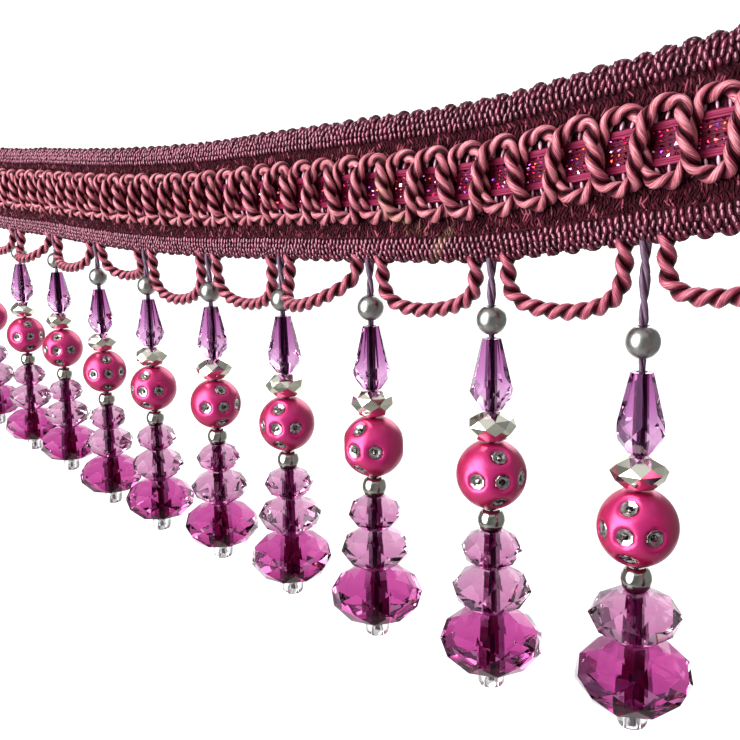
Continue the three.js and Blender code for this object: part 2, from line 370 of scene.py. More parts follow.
# A stitch on each even step of each row, each with its own shade, tilt and size
def makeStitchTree():
    tree, given = newTree(
        "stitchRows",
        {
            "Stitch": "Object",
            "Spacing": "Float",
            "Size Change": "Float",
            "Tilt Change": "Float",
            "Seed": "Int",
            "Material": "Material",
        },
    )
    line = addNode(tree, "GeometryNodeMeshToCurve", {"Mesh": given["Geometry"]})
    even = addNode(
        tree,
        "GeometryNodeResampleCurve",
        {"Curve": line.outputs["Curve"], "Length": given["Spacing"]},
        mode="LENGTH",
    )
    shade = addNode(
        tree, "FunctionNodeRandomValue", {"Seed": given["Seed"]}, data_type="FLOAT"
    )
    marked = addNode(
        tree,
        "GeometryNodeStoreNamedAttribute",
        {"Geometry": even.outputs["Curve"], "Name": "shade", "Value": shade.outputs[1]},
        data_type="FLOAT",
        domain="POINT",
    )
    tangent = addNode(tree, "GeometryNodeInputTangent")
    level = addNode(
        tree,
        "FunctionNodeAlignRotationToVector",
        {"Vector": tangent.outputs["Tangent"]},
        axis="X",
    )
    least = addNode(tree, "ShaderNodeMath", {0: given["Tilt Change"], 1: -1.0}, operation="MULTIPLY")
    wobble = addNode(
        tree,
        "FunctionNodeRandomValue",
        {0: least.outputs[0], 1: given["Tilt Change"], "Seed": given["Seed"]},
        data_type="FLOAT_VECTOR",
    )
    lean = addNode(tree, "GeometryNodeInputNamedAttribute", {"Name": "lean"}, data_type="FLOAT_VECTOR")
    tilt = addNode(
        tree,
        "ShaderNodeVectorMath",
        {0: lean.outputs["Attribute"], 1: wobble.outputs["Value"]},
        operation="ADD",
    )
    turned = addNode(
        tree,
        "FunctionNodeRotateRotation",
        {"Rotation": level.outputs["Rotation"], "Rotate By": tilt.outputs["Vector"]},
        rotation_space="LOCAL",
    )
    smallest = addNode(tree, "ShaderNodeMath", {0: 1.0, 1: given["Size Change"]}, operation="SUBTRACT")
    largest = addNode(tree, "ShaderNodeMath", {0: 1.0, 1: given["Size Change"]}, operation="ADD")
    seedAfter = addNode(tree, "ShaderNodeMath", {0: given["Seed"], 1: 1.0}, operation="ADD")
    size = addNode(
        tree,
        "FunctionNodeRandomValue",
        {0: smallest.outputs[0], 1: largest.outputs[0], "Seed": seedAfter.outputs[0]},
        data_type="FLOAT_VECTOR",
    )
    stitch = addNode(tree, "GeometryNodeObjectInfo", {"Object": given["Stitch"], "As Instance": True})
    sewn = addNode(
        tree,
        "GeometryNodeInstanceOnPoints",
        {
            "Points": marked.outputs["Geometry"],
            "Instance": stitch.outputs["Geometry"],
            "Rotation": turned.outputs["Rotation"],
            "Scale": size.outputs["Value"],
        },
    )
    finishTree(tree, sewn.outputs["Instances"], given["Material"])
    return tree


def finishTree(tree, grown, material):
    real = addNode(tree, "GeometryNodeRealizeInstances", {"Geometry": grown})
    dyed = addNode(
        tree, "GeometryNodeSetMaterial", {"Geometry": real.outputs["Geometry"], "Material": material}
    )
    addNode(tree, "NodeGroupOutput", {"Geometry": dyed.outputs["Geometry"]})


# Two plies side by side, swept along each line and turned about it. "strand" keeps the place in the
# ply and the length along the cord, for the fibres.
def makeCordTree():
    tree, given = newTree(
        "twoPlyCord",
        {
            "Ply Radius": "Float",
            "Ply Offset": "Float",
            "Turn Length": "Float",
            "Step": "Float",
            "Sides": "Int",
            "Material": "Material",
        },
    )
    line = addNode(tree, "GeometryNodeMeshToCurve", {"Mesh": given["Geometry"]})
    even = addNode(
        tree,
        "GeometryNodeResampleCurve",
        {"Curve": line.outputs["Curve"], "Length": given["Step"]},
        mode="LENGTH",
    )
    spline = addNode(tree, "GeometryNodeSplineParameter")
    turns = addNode(
        tree, "ShaderNodeMath", {0: spline.outputs["Length"], 1: given["Turn Length"]}, operation="DIVIDE"
    )
    angle = addNode(tree, "ShaderNodeMath", {0: turns.outputs[0], 1: -fullTurn}, operation="MULTIPLY")
    twisted = addNode(
        tree, "GeometryNodeSetCurveTilt", {"Curve": even.outputs["Curve"], "Tilt": angle.outputs[0]}
    )
    swell = addNode(tree, "GeometryNodeInputNamedAttribute", {"Name": "swell"}, data_type="FLOAT")
    inMillimetres = addNode(
        tree, "ShaderNodeMath", {0: spline.outputs["Length"], 1: 1 / mm}, operation="MULTIPLY"
    )
    measured = addNode(
        tree,
        "GeometryNodeStoreNamedAttribute",
        {"Geometry": twisted.outputs["Curve"], "Name": "along", "Value": inMillimetres.outputs[0]},
        data_type="FLOAT",
        domain="POINT",
    )
    ply = addNode(
        tree,
        "GeometryNodeCurvePrimitiveCircle",
        {"Resolution": given["Sides"], "Radius": given["Ply Radius"]},
        mode="RADIUS",
    )
    place = addNode(tree, "GeometryNodeInputPosition")
    roundPlace = addNode(
        tree, "ShaderNodeVectorMath", {0: place.outputs[0], "Scale": 1 / mm}, operation="SCALE"
    )
    ringed = addNode(
        tree,
        "GeometryNodeStoreNamedAttribute",
        {"Geometry": ply.outputs["Curve"], "Name": "ring", "Value": roundPlace.outputs["Vector"]},
        data_type="FLOAT_VECTOR",
        domain="POINT",
    )
    back = addNode(tree, "ShaderNodeMath", {0: given["Ply Offset"], 1: -1.0}, operation="MULTIPLY")
    first = addNode(tree, "ShaderNodeCombineXYZ", {"X": given["Ply Offset"]})
    second = addNode(tree, "ShaderNodeCombineXYZ", {"X": back.outputs[0]})
    onePly = addNode(
        tree,
        "GeometryNodeTransform",
        {"Geometry": ringed.outputs["Geometry"], "Translation": first.outputs[0]},
    )
    otherPly = addNode(
        tree,
        "GeometryNodeTransform",
        {
            "Geometry": ringed.outputs["Geometry"],
            "Translation": second.outputs[0],
            "Rotation": (0, 0, math.pi),
        },
    )
    profile = addNode(tree, "GeometryNodeJoinGeometry")
    for part in (onePly, otherPly):
        tree.links.new(part.outputs["Geometry"], profile.inputs["Geometry"])
    body = addNode(
        tree,
        "GeometryNodeCurveToMesh",
        {
            "Curve": measured.outputs["Geometry"],
            "Profile Curve": profile.outputs["Geometry"],
            "Scale": swell.outputs["Attribute"],
            "Fill Caps": True,
        },
    )
    ring = addNode(tree, "GeometryNodeInputNamedAttribute", {"Name": "ring"}, data_type="FLOAT_VECTOR")
    along = addNode(tree, "GeometryNodeInputNamedAttribute", {"Name": "along"}, data_type="FLOAT")
    ringParts = addNode(tree, "ShaderNodeSeparateXYZ", {"Vector": ring.outputs["Attribute"]})
    strand = addNode(
        tree,
        "ShaderNodeCombineXYZ",
        {
            "X": ringParts.outputs["X"],
            "Y": ringParts.outputs["Y"],
            "Z": along.outputs["Attribute"],
        },
    )
    mapped = addNode(
        tree,
        "GeometryNodeStoreNamedAttribute",
        {"Geometry": body.outputs["Mesh"], "Name": "strand", "Value": strand.outputs[0]},
        data_type="FLOAT_VECTOR",
        domain="POINT",
    )
    finishTree(tree, mapped.outputs["Geometry"], given["Material"])
    return tree


# One bead on each place
def makeStringTree():
    tree, given = newTree("strungBeads", {"Bead": "Object", "Material": "Material"})
    turn = addNode(tree, "GeometryNodeInputNamedAttribute", {"Name": "turn"}, data_type="FLOAT")
    spin = addNode(tree, "ShaderNodeCombineXYZ", {"Z": turn.outputs["Attribute"]})
    bead = addNode(tree, "GeometryNodeObjectInfo", {"Object": given["Bead"], "As Instance": True})
    strung = addNode(
        tree,
        "GeometryNodeInstanceOnPoints",
        {
            "Points": given["Geometry"],
            "Instance": bead.outputs["Geometry"],
            "Rotation": spin.outputs[0],
        },
    )
    finishTree(tree, strung.outputs["Instances"], given["Material"])
    return tree


stitchTree = makeStitchTree()
cordTree = makeCordTree()
stringTree = makeStringTree()


def template(name, mesh):
    pattern = bpy.data.objects.new(name, mesh)
    scene.collection.objects.link(pattern)
    return pattern


def polylines(name, lines, extras):
    mesh = bpy.data.meshes.new(name)
    points = np.concatenate(lines) * mm
    edges = []
    start = 0
    for line in lines:
        edges += [(start + i, start + i + 1) for i in range(len(line) - 1)]
        start += len(line)
    mesh.from_pydata(points.tolist(), edges, [])
    for label, values in extras.items():
        values = np.concatenate(values)
        if values.ndim == 2:
            setVectors(mesh, label, values)
        else:
            setNumbers(mesh, label, values)
    return mesh


sampling = {"step": 2.0, "windingStep": 0.7}


# Places along the braid from one end to the other, a little in from its cut ends
def alongBraid(start, step):
    end = braid["length"] / 2 - braid["endInset"]
    return np.arange(-end + start, end, step)


# How far an edge stands up over its knobs, 1 on a knob and 0 between two
def overKnobs(along, down, out, start, spacing):
    fine = alongBraid(start, sampling["step"])
    steps = np.linalg.norm(np.diff(onBraid(fine, down, out), axis=0), axis=1)
    reached = np.concatenate([[0.0], np.cumsum(steps)])
    between = reached[-1] / int(reached[-1] / spacing)
    return np.abs(np.cos(math.pi * np.interp(along, fine, reached) / between))


# Rows of stitches along the braid: each row is (down, out, tip backward, lean sideways, start)
def sewRows(name, rows, stitch, spacing, sizeChange, tiltChange, seed, material, smooth=True):
    lines, leans = [], []
    for down, out, tip, lean, start in rows:
        along = alongBraid(start, sampling["step"])
        if callable(down):  # a row that winds up and down needs finer steps
            along = alongBraid(start, sampling["windingStep"])
            down = down(along)
        lines.append(onBraid(along, down, out))
        leans.append(np.tile([math.radians(tip), math.radians(lean), 0.0], (len(along), 1)))
    values = {
        "Stitch": stitch,
        "Spacing": spacing * mm,
        "Size Change": sizeChange,
        "Tilt Change": math.radians(tiltChange),
        "Seed": seed,
    }
    piece = grow(name, polylines(name, lines, {"lean": leans}), stitchTree, values, material, smooth)
    bpy.data.objects.remove(stitch)
    return piece


def plumpStitch(name, width, depth, height, segments=6, rings=5):
    mesh = bpy.data.meshes.new(name)
    shape = bmesh.new()
    bmesh.ops.create_uvsphere(shape, u_segments=segments, v_segments=rings, radius=0.5)
    for point in shape.verts:
        point.co.x *= width * mm
        point.co.y *= depth * mm
        point.co.z *= height * mm
    shape.to_mesh(mesh)
    shape.free()
    return template(name, mesh)


# Materials of the cloth and cords

# Straw-coloured marks between the second and third drops: a slanting streak across the lower border, and
# fainter patches on the ground and the gimp cords beside it
strawTone = {"straw": "#8c785a", "outerEdge": 1.5, "innerEdge": 1.0}
strawMarks = [
    {"middle": (89.9, 0, -23.8), "halfSize": (1.7, 20, 4.9), "lean": 37, "cover": 0.45, "blend": "MIX"},
    {"middle": (81.0, 0, -20.5), "halfSize": (4.2, 20, 2.4), "lean": 20, "cover": 0.5, "blend": "COLOR"},
    {"middle": (75.5, 0, -14.5), "halfSize": (4.5, 20, 7.5), "lean": -20, "cover": 0.22, "blend": "COLOR"},
]


def strawMarked(tree, dye):
    place = addNode(tree, "ShaderNodeTexCoord")
    ragged = addNode(
        tree, "ShaderNodeTexNoise", {"Vector": place.outputs["Object"], "Scale": 0.9 / mm, "Detail": 2.0}
    )
    for mark in strawMarks:
        # Distance from the mark's middle, 1 at the end of its half size, with a ragged edge
        patch = addNode(
            tree,
            "ShaderNodeMapping",
            {
                "Vector": place.outputs["Object"],
                "Location": [v * mm for v in mark["middle"]],
                "Rotation": (0, math.radians(mark["lean"]), 0),
                "Scale": [v * mm for v in mark["halfSize"]],
            },
            vector_type="TEXTURE",
        )
        away = addNode(tree, "ShaderNodeVectorMath", {0: patch.outputs["Vector"]}, operation="LENGTH")
        edge = addNode(
            tree, "ShaderNodeMath", {0: away.outputs["Value"], 1: ragged.outputs[0]}, operation="ADD"
        )
        cover = addNode(
            tree,
            "ShaderNodeMapRange",
            {
                "Value": edge.outputs[0],
                "From Min": strawTone["outerEdge"],
                "From Max": strawTone["innerEdge"],
                "To Max": mark["cover"],
            },
        )
        mixed = addNode(
            tree,
            "ShaderNodeMix",
            {0: cover.outputs["Result"], 6: dye, 7: colour(strawTone["straw"])},
            data_type="RGBA",
            blend_type=mark["blend"],
        )
        dye = mixed.outputs[2]
    return dye


# Twisted yarns follow their strand: across a ply in X and Y, and along the cord in Z
def yarnMaterial(name, look):
    material, tree, shader = newMaterial(
        name,
        {
            "Roughness": look["roughness"],
            "Specular IOR Level": look["specular"],
            "Sheen Weight": look["sheen"],
            "Sheen Roughness": 0.4,
            "Sheen Tint": colour(look["shine"]),
        },
    )
    strand = addNode(tree, "ShaderNodeAttribute", attribute_name="strand")
    stretched = addNode(
        tree, "ShaderNodeMapping", {"Vector": strand.outputs["Vector"], "Scale": look["fibre"]}
    )
    fibres = addNode(
        tree,
        "ShaderNodeTexNoise",
        {"Vector": stretched.outputs["Vector"], "Scale": 1.0, "Detail": 3.0, "Roughness": 0.6},
    )
    parts = addNode(tree, "ShaderNodeSeparateXYZ", {"Vector": strand.outputs["Vector"]})
    # Painted shade: the colour darkens towards the inner side of each ply, in the groove between the plies
    grooveShade = addNode(
        tree,
        "ShaderNodeMapRange",
        {
            "Value": parts.outputs["X"],
            "From Min": look["grooveShade"][0],
            "From Max": look["grooveShade"][1],
            "To Min": -look["grooveShadeDepth"],
            "To Max": 0.0,
        },
        interpolation_type="SMOOTHSTEP",
    )
    depth = addNode(
        tree, "ShaderNodeMath", {0: fibres.outputs[0], 1: grooveShade.outputs["Result"]}, operation="ADD"
    )
    dye = addNode(tree, "ShaderNodeValToRGB", {"Fac": depth.outputs[0]})
    setStops(dye, look["colours"])
    # Painted shade on the shine: the specular tint goes dark in the grooves between the plies, so they
    # hold no shine
    lustre = addNode(tree, "ShaderNodeValToRGB", {"Fac": depth.outputs[0]})
    setStops(lustre, [(0.15, "#1c0408"), (0.55, look["shine"])])
    relief = addNode(
        tree,
        "ShaderNodeBump",
        {"Height": fibres.outputs[0], "Strength": look["bump"], "Distance": 0.1 * mm},
    )
    setSockets(
        tree,
        shader,
        {
            "Specular Tint": lustre.outputs["Color"],
            "Base Color": strawMarked(tree, dye.outputs["Color"]),
            "Normal": relief.outputs["Normal"],
        },
    )
    return material


# Sewn stitches take their dye from their own shade, and fine fibres run down each one
def stitchMaterial(name, look):
    material, tree, shader = newMaterial(
        name,
        {
            "Roughness": look["roughness"],
            "Specular IOR Level": look["specular"],
            "Specular Tint": colour(look["shine"]),
            "Sheen Weight": look["sheen"],
            "Sheen Tint": colour(look["shine"]),
            "Metallic": look.get("metallic", 0.0),
            "IOR": look.get("bend", 1.5),
        },
    )
    shade = addNode(tree, "ShaderNodeAttribute", attribute_name="shade")
    dye = addNode(tree, "ShaderNodeValToRGB", {"Fac": shade.outputs["Fac"]})
    setStops(dye, look["colours"])
    place = addNode(tree, "ShaderNodeTexCoord")
    stretched = addNode(
        tree,
        "ShaderNodeMapping",
        {"Vector": place.outputs["Object"], "Scale": (6 / mm, 6 / mm, 0.9 / mm)},
    )
    fibres = addNode(
        tree, "ShaderNodeTexNoise", {"Vector": stretched.outputs["Vector"], "Scale": 1.0, "Detail": 2.0}
    )
    relief = addNode(
        tree,
        "ShaderNodeBump",
        {"Height": fibres.outputs[0], "Strength": look["bump"], "Distance": 0.08 * mm},
    )
    dyed = strawMarked(tree, dye.outputs["Color"])
    setSockets(tree, shader, {"Base Color": dyed, "Normal": relief.outputs["Normal"]})
    return material


# The braid ground: a warp-knitted rayon tape, dark and fibrous
cloth = {
    "step": 0.8,
    "grain": 0.8,
    "ripple": 0.12,
    "borderRipple": 0.05,
    "rippleLength": 1.3,
    "rippleHeight": 1.1,
    "rippleLean": 0.6,
    "threadSpacing": 0.42,
}
# Sections as down from the upper edge and out from the back
groundSection = [
    (0.7, 0.0), (0.0, 1.0), (0.8, 2.2), (2.6, 2.4), (4.4, 2.0), (4.9, 1.4), (23.84, 1.4), (23.84, 0.0),
]
lowerBorderSection = [
    (23.6, 0.05), (23.6, 1.3), (24.5, 2.1), (26.3, 2.4), (28.1, 2.0), (28.8, 1.1), (28.3, 0.0),
]


def clothMaterial():
    # Rayon knit: dull dark red with short lighter fibres that lie slantwise
    material, tree, shader = newMaterial(
        "rayonKnitGround",
        {
            "Roughness": 0.7,
            "Specular IOR Level": 0.1,
            "Sheen Weight": 0.04,
            "Sheen Tint": colour("#b06a84"),
        },
    )
    place = addNode(tree, "ShaderNodeAttribute", attribute_name="cloth")
    slanted = addNode(
        tree,
        "ShaderNodeMapping",
        {
            "Vector": place.outputs["Vector"],
            "Rotation": (0, 0, math.radians(32)),
            "Scale": (1 / cloth["threadSpacing"], 0.55, 1.0),
        },
    )
    fibres = addNode(
        tree,
        "ShaderNodeTexNoise",
        {"Vector": slanted.outputs["Vector"], "Scale": 1.0, "Detail": 4.0, "Roughness": 0.65},
    )
    dye = addNode(tree, "ShaderNodeValToRGB", {"Fac": fibres.outputs[0]})
    setStops(dye, [(0.3, "#140308"), (0.5, "#2a0812"), (0.72, "#642436")])
    relief = addNode(
        tree, "ShaderNodeBump", {"Height": fibres.outputs[0], "Strength": 0.8, "Distance": 0.25 * mm}
    )
    setSockets(
        tree, shader, {"Base Color": dye.outputs["Color"], "Normal": relief.outputs["Normal"]}
    )
    return material


def denseSection(section, grain):
    corners = np.array(section, float)
    rows = []
    for here, after in zip(corners, np.roll(corners, -1, axis=0)):
        steps = max(1, round(float(np.linalg.norm(after - here)) / grain))
        rows += [here + (after - here) * k / steps for k in range(steps)]
    return np.array(rows)


# A band along the whole braid: a section repeated at each step, its front gently rippled
def bandPiece(name, section, step, grain, ripple, material, rippleFrom=0.8):
    rows = denseSection(section, grain)
    half = braid["length"] / 2
    count = round(braid["length"] / step)
    points, places = [], []
    for along in np.linspace(-half, half, count + 1):
        wave = np.sin(fullTurn * (along + cloth["rippleLean"] * rows[:, 0]) / cloth["rippleLength"])
        wave *= np.sin(fullTurn * rows[:, 0] / cloth["rippleHeight"])
        lift = np.where(rows[:, 1] > rippleFrom, ripple * wave, 0.0)
        points.append(onBraid(along, rows[:, 0], rows[:, 1] + lift))
        places.append(np.stack([np.full(len(rows), along), rows[:, 0], rows[:, 1]], axis=-1))
    points = np.concatenate(points)
    size = len(rows)
    faces = []
    for r in range(count):
        for k in range(size):
            a, b = r * size + k, r * size + (k + 1) % size
            faces.append([a, b, b + size, a + size])
    faces.append(list(range(size))[::-1])
    faces.append([count * size + k for k in range(size)])
    faces = facedOutward(points, faces)
    mesh = meshFrom(name, points, faces)
    setVectors(mesh, "cloth", np.concatenate(places))
    return newPiece(name, mesh, material)


rayonKnit = clothMaterial()
braidCloth = bandPiece(
    "braidCloth", groundSection, cloth["step"], cloth["grain"], cloth["ripple"], rayonKnit
)
lowerBorder = bandPiece(
    "lowerBorder", lowerBorderSection, cloth["step"], cloth["grain"], cloth["borderRipple"], rayonKnit
)
print("braid ground done")

# Plump satin stitches on both borders, with a knob of plain yarn every few stitches
border = {
    "spacing": 1.35,
    "width": 1.0,
    "depth": 1.0,
    "height": 1.8,
    "knobSpacing": 4.2,
    "upperKnob": (0.7, 1.2, 1.5),  # down, out and start of the row of knobs
    "lowerKnob": (28.5, 1.2, 0.7),
    "upperKnobSize": (4.0, 2.0, 3.2),
    "lowerKnobSize": (3.2, 1.6, 2.0),
    "upperRise": 0.9,  # how far the stitches climb over the knobs
    "lowerRise": 0.7,
    "outerShift": 0.3,
    "lean": 6,
}
borderSatin = stitchMaterial(
    "rayonSatinDark",  # lustrous dark floss whose highlights read as pale dashes
    {
        "roughness": 0.17,
        "specular": 1.0,
        "bend": 1.75,
        "shine": "#ffb0c8",
        "sheen": 0.0,
        "bump": 0.7,
        "colours": [(0.0, "#14030a"), (0.5, "#2e0a16"), (1.0, "#521428")],
    },
)
plainYarn = stitchMaterial(
    "spunYarnMaroon",  # duller spun yarn of the edge knobs
    {
        "roughness": 0.5,
        "specular": 0.5,
        "shine": "#b04868",
        "sheen": 0.05,
        "bump": 0.8,
        "colours": [(0.0, "#1e050b"), (1.0, "#3c101a")],
    },
)


def borderRows(first, direction, knob, rise):
    # down from the braid's edge, out, tip, share of the rise: the rows roll over the rounded
    # border, and the outer ones climb over its knobs
    shape = [(0.5, 1.95, 38, 1.0), (1.6, 2.4, 16, 0.8), (2.75, 2.5, 2, 0.4), (3.9, 2.3, -14, 0.0)]
    rows = []
    for k, (down, out, tip, share) in enumerate(shape):
        stagger = border["spacing"] / 2 if k % 2 else 0.0

        def height(along, down=down, share=share):
            lift = rise * share * overKnobs(along, *knob, border["knobSpacing"])
            return first + direction * (down + border["outerShift"] * share - lift)

        rows.append((height, out, -direction * tip, direction * border["lean"], stagger))
    return rows


def borderStitches(name, rows, stitchName, seed):
    stitch = plumpStitch(stitchName, border["width"], border["depth"], border["height"])
    return sewRows(
        name, rows, stitch, border["spacing"],
        sizeChange=0.22, tiltChange=17, seed=seed, material=borderSatin,
    )


def edgeKnobs(name, which, seed):
    down, out, start = border[which]
    knob = plumpStitch(which, *border[which + "Size"], segments=12, rings=8)
    return sewRows(
        name, [(down, out, 0, 0, start)], knob, border["knobSpacing"],
        sizeChange=0.12, tiltChange=5, seed=seed, material=plainYarn,
    )


upperRows = borderRows(0.0, 1, border["upperKnob"], border["upperRise"])
upperStitches = borderStitches("upperBorderStitches", upperRows, "upperStitch", seed=3)
lowerRows = borderRows(braid["height"], -1, border["lowerKnob"], border["lowerRise"])
lowerStitches = borderStitches("lowerBorderStitches", lowerRows, "lowerStitch", seed=5)
upperKnobs = edgeKnobs("upperEdgeKnobs", "upperKnob", seed=7)
lowerKnobs = edgeKnobs("lowerEdgeKnobs", "lowerKnob", seed=8)
print("borders done")

# Slanting strands on the ground between the borders and the cords
strands = {
    "spacing": 0.86,
    "rowGap": 0.8,
    "width": 0.36,
    "length": 2.3,
    "out": 1.5,
    "upperRows": (5.3, 9.9),
    "lowerRows": (18.4, 24.0),
    "stagger": 0.37,
    "lean": 24,
    "crossLean": -30,
}
strandYarn = stitchMaterial(
    "spunFibreStrands",  # loose fibres that catch some light
    {
        "roughness": 0.42,
        "specular": 0.5,
        "shine": "#d05878",
        "sheen": 0.02,
        "bump": 0.5,
        "colours": [(0.0, "#0c0104"), (0.55, "#20060c"), (0.84, "#4c1420"), (1.0, "#a85868")],
    },
)


# Every third row of strands leans the other way
def strandRows():
    rows = []
    heights = [np.arange(*strands[part], strands["rowGap"]) for part in ("upperRows", "lowerRows")]
    for k, down in enumerate(np.concatenate(heights)):
        start = (k * strands["stagger"]) % strands["spacing"]
        lean = strands["lean"] if k % 3 else strands["crossLean"]
        rows.append((float(down), strands["out"], 0, lean, start))
    return rows


groundStrands = sewRows(
    "groundStrands", strandRows(),
    plumpStitch("strand", strands["width"], strands["width"], strands["length"], 5, 4),
    strands["spacing"], sizeChange=0.25, tiltChange=22, seed=11, material=strandYarn,
)
print("ground strands done")

# The ribbon: satin edges, a centre of glitter film woven in
ribbon = {
    "middle": 14.0,
    "height": 6.9,
    "out": 1.8,
    "thickness": 0.5,
    "satinEdge": 1.15,
    "threadSpacing": 0.55,
    "step": 1.2,
    "grain": 0.45,
    "ripple": 0.04,
    "flakeSpacing": 1.35,
    "flakeRows": 6,
    "flakeSize": (0.8, 0.14, 0.55),
    "flakeInset": 0.4,
    "flakeSink": 0.02,
}


def ribbonMaterial():
    # Woven polyester: hot-pink satin selvedges, dark magenta weft between them
    material, tree, shader = newMaterial(
        "polyesterGlitterRibbon",
        {"Roughness": 0.36, "Specular IOR Level": 0.5, "Specular Tint": colour("#ff90c0")},
    )
    place = addNode(tree, "ShaderNodeAttribute", attribute_name="cloth")
    parts = addNode(tree, "ShaderNodeSeparateXYZ", {"Vector": place.outputs["Vector"]})
    fromMiddle = addNode(
        tree, "ShaderNodeMath", {0: parts.outputs["Y"], 1: ribbon["middle"]}, operation="SUBTRACT"
    )
    distance = addNode(tree, "ShaderNodeMath", {0: fromMiddle.outputs[0]}, operation="ABSOLUTE")
    share = addNode(
        tree, "ShaderNodeMath", {0: distance.outputs[0], 1: ribbon["height"] / 2}, operation="DIVIDE"
    )
    edgeShare = 1 - 2 * ribbon["satinEdge"] / ribbon["height"]
    bands = addNode(tree, "ShaderNodeValToRGB", {"Fac": share.outputs[0]})
    setStops(
        bands,
        [(0.0, "#34020e"), (edgeShare - 0.04, "#4c0620"), (edgeShare, "#681430"), (1.0, "#78203c")],
    )
    # At scale 1 this node's bands are 0.314 apart
    weft = addNode(
        tree,
        "ShaderNodeTexWave",
        {"Vector": place.outputs["Vector"], "Scale": 0.314 / ribbon["threadSpacing"], "Distortion": 0.6},
        bands_direction="Y",
    )
    relief = addNode(
        tree, "ShaderNodeBump", {"Height": weft.outputs["Fac"], "Strength": 0.7, "Distance": 0.12 * mm}
    )
    setSockets(
        tree, shader, {"Base Color": bands.outputs["Color"], "Normal": relief.outputs["Normal"]}
    )
    return material


def glitterMaterial():
    # Cut polyester film: mirror bright, its colour shifts from flake to flake
    return stitchMaterial(
        "glitterFilm",
        {
            "roughness": 0.12,
            "specular": 0.8,
            "shine": "#ffffff",
            "sheen": 0.0,
            "bump": 0.0,
            "metallic": 1.0,
            "colours": [
                (0.0, "#6a0a28"), (0.4, "#b01848"), (0.62, "#f06028"),
                (0.78, "#a040e0"), (0.9, "#ff90d8"), (1.0, "#ffe8ff"),
            ],
        },
    )


def makeRibbon():
    low, high = ribbon["middle"] - ribbon["height"] / 2, ribbon["middle"] + ribbon["height"] / 2
    inner, outer = ribbon["out"], ribbon["out"] + ribbon["thickness"]
    edge = ribbon["satinEdge"]
    # One selvedge as inset and out, then the other as its mirror image
    selvedge = [
        (0, inner), (-0.05, (inner + outer) / 2), (0, outer - 0.1), (0.3, outer + 0.1),
        (edge, outer + 0.05), (edge + 0.2, outer - 0.12),
    ]
    section = [(low + inset, out) for inset, out in selvedge]
    section += [(high - inset, out) for inset, out in reversed(selvedge)]
    return bandPiece(
        "ribbonBand", section, ribbon["step"], ribbon["grain"], ribbon["ripple"], ribbonMaterial(),
        rippleFrom=2.1,
    )


def makeFlakes():
    span = ribbon["height"] - 2 * (ribbon["satinEdge"] + ribbon["flakeInset"])
    out = ribbon["out"] + ribbon["thickness"] - ribbon["flakeSink"]
    rows = []
    for k in range(ribbon["flakeRows"]):
        down = ribbon["middle"] - span / 2 + span * k / (ribbon["flakeRows"] - 1)
        rows.append((down, out, 0, 0, (k * 0.41) % 0.95))  # the starts are staggered
    flake = plumpStitch("flake", *ribbon["flakeSize"], segments=4, rings=2)
    return sewRows(
        "ribbonGlitter", rows, flake, ribbon["flakeSpacing"],
        sizeChange=0.45, tiltChange=38, seed=17, material=glitterMaterial(), smooth=False,
    )


ribbonBand = makeRibbon()
ribbonGlitter = makeFlakes()
print("ribbon done")

# Two gimp cords wind up and down over the ribbon in opposite phase
gimp = {
    "swing": 6.1,
    "plyRadius": 0.9,
    "plyOffset": 0.52,
    "turnLength": 7.6,
    "slimBars": 0.72,
    "step": 0.5,
    "endInset": 1.05,
    "stepsPerKnot": 5,
}
# One bend of a cord: share of the cell along it, share of the swing, and out from the back
frontWinding = [
    (0.0, 0.0, 4.8), (0.06, 0.42, 4.7), (0.18, 0.86, 3.4),
    (0.5, 1.0, 2.9), (0.82, 0.86, 3.4), (0.94, 0.42, 4.7),
]
backWinding = [
    (0.0, 0.0, 3.1), (0.05, 0.42, 3.1), (0.16, 0.84, 3.0),
    (0.5, 1.0, 2.8), (0.84, 0.84, 3.0), (0.95, 0.42, 3.1),
]
roseGimp = yarnMaterial(
    "rayonGimpRose",  # thick lustrous floss, pale pink where it turns to the light, with painted shade in its grooves
    {
        "roughness": 0.32,
        "specular": 1.0,
        "shine": "#ffc4c8",
        "sheen": 0.04,
        "bump": 0.9,
        "fibre": (6.0, 6.0, 0.5),
        "grooveShade": (-0.7, 0.8),
        "grooveShadeDepth": 0.52,
        "colours": [
            (0.05, "#180306"), (0.25, "#481020"), (0.42, "#903e4e"), (0.58, "#cc808a"), (0.7, "#f8c4c8"),
        ],
    },
)


# A smooth curve through the knots, in even steps from one to the next
def smoothLine(knots, perSpan):
    knots = np.asarray(knots, float)
    padded = np.concatenate([[2 * knots[0] - knots[1]], knots, [2 * knots[-1] - knots[-2]]])
    line = []
    for a, b, c, d in zip(padded, padded[1:], padded[2:], padded[3:]):
        for k in range(perSpan):
            t = k / perSpan
            square = a - 2.5 * b + 2 * c - d / 2
            cube = 1.5 * (b - c) + (d - a) / 2
            line.append(b + (c - a) / 2 * t + square * t**2 + cube * t**3)
    line.append(knots[-1])
    return np.array(line)


# slim is how thick the cord is where it crosses the ribbon, against its bends
def gimpCord(name, winding, firstSide, slim):
    knots = []
    for i in range(braid["cells"]):
        side = firstSide if i % 2 == 0 else -firstSide
        for share, swing, out in winding:
            along = (i + share - braid["cells"] / 2) * braid["cell"]
            knots.append((along, ribbon["middle"] - side * swing * gimp["swing"], out))
    knots[0] = (knots[0][0] + gimp["endInset"], knots[0][1], knots[0][2])
    knots.append((braid["length"] / 2 - gimp["endInset"], ribbon["middle"], winding[0][2]))
    line = smoothLine(knots, gimp["stepsPerKnot"])
    path = onBraid(line[:, 0], line[:, 1], line[:, 2])
    outward = np.abs(line[:, 1] - ribbon["middle"]) / gimp["swing"]
    base = polylines(name, [path], {"swell": [slim + (1 - slim) * outward.clip(0, 1)]})
    return grow(name, base, cordTree, cordValues(gimp), roseGimp)


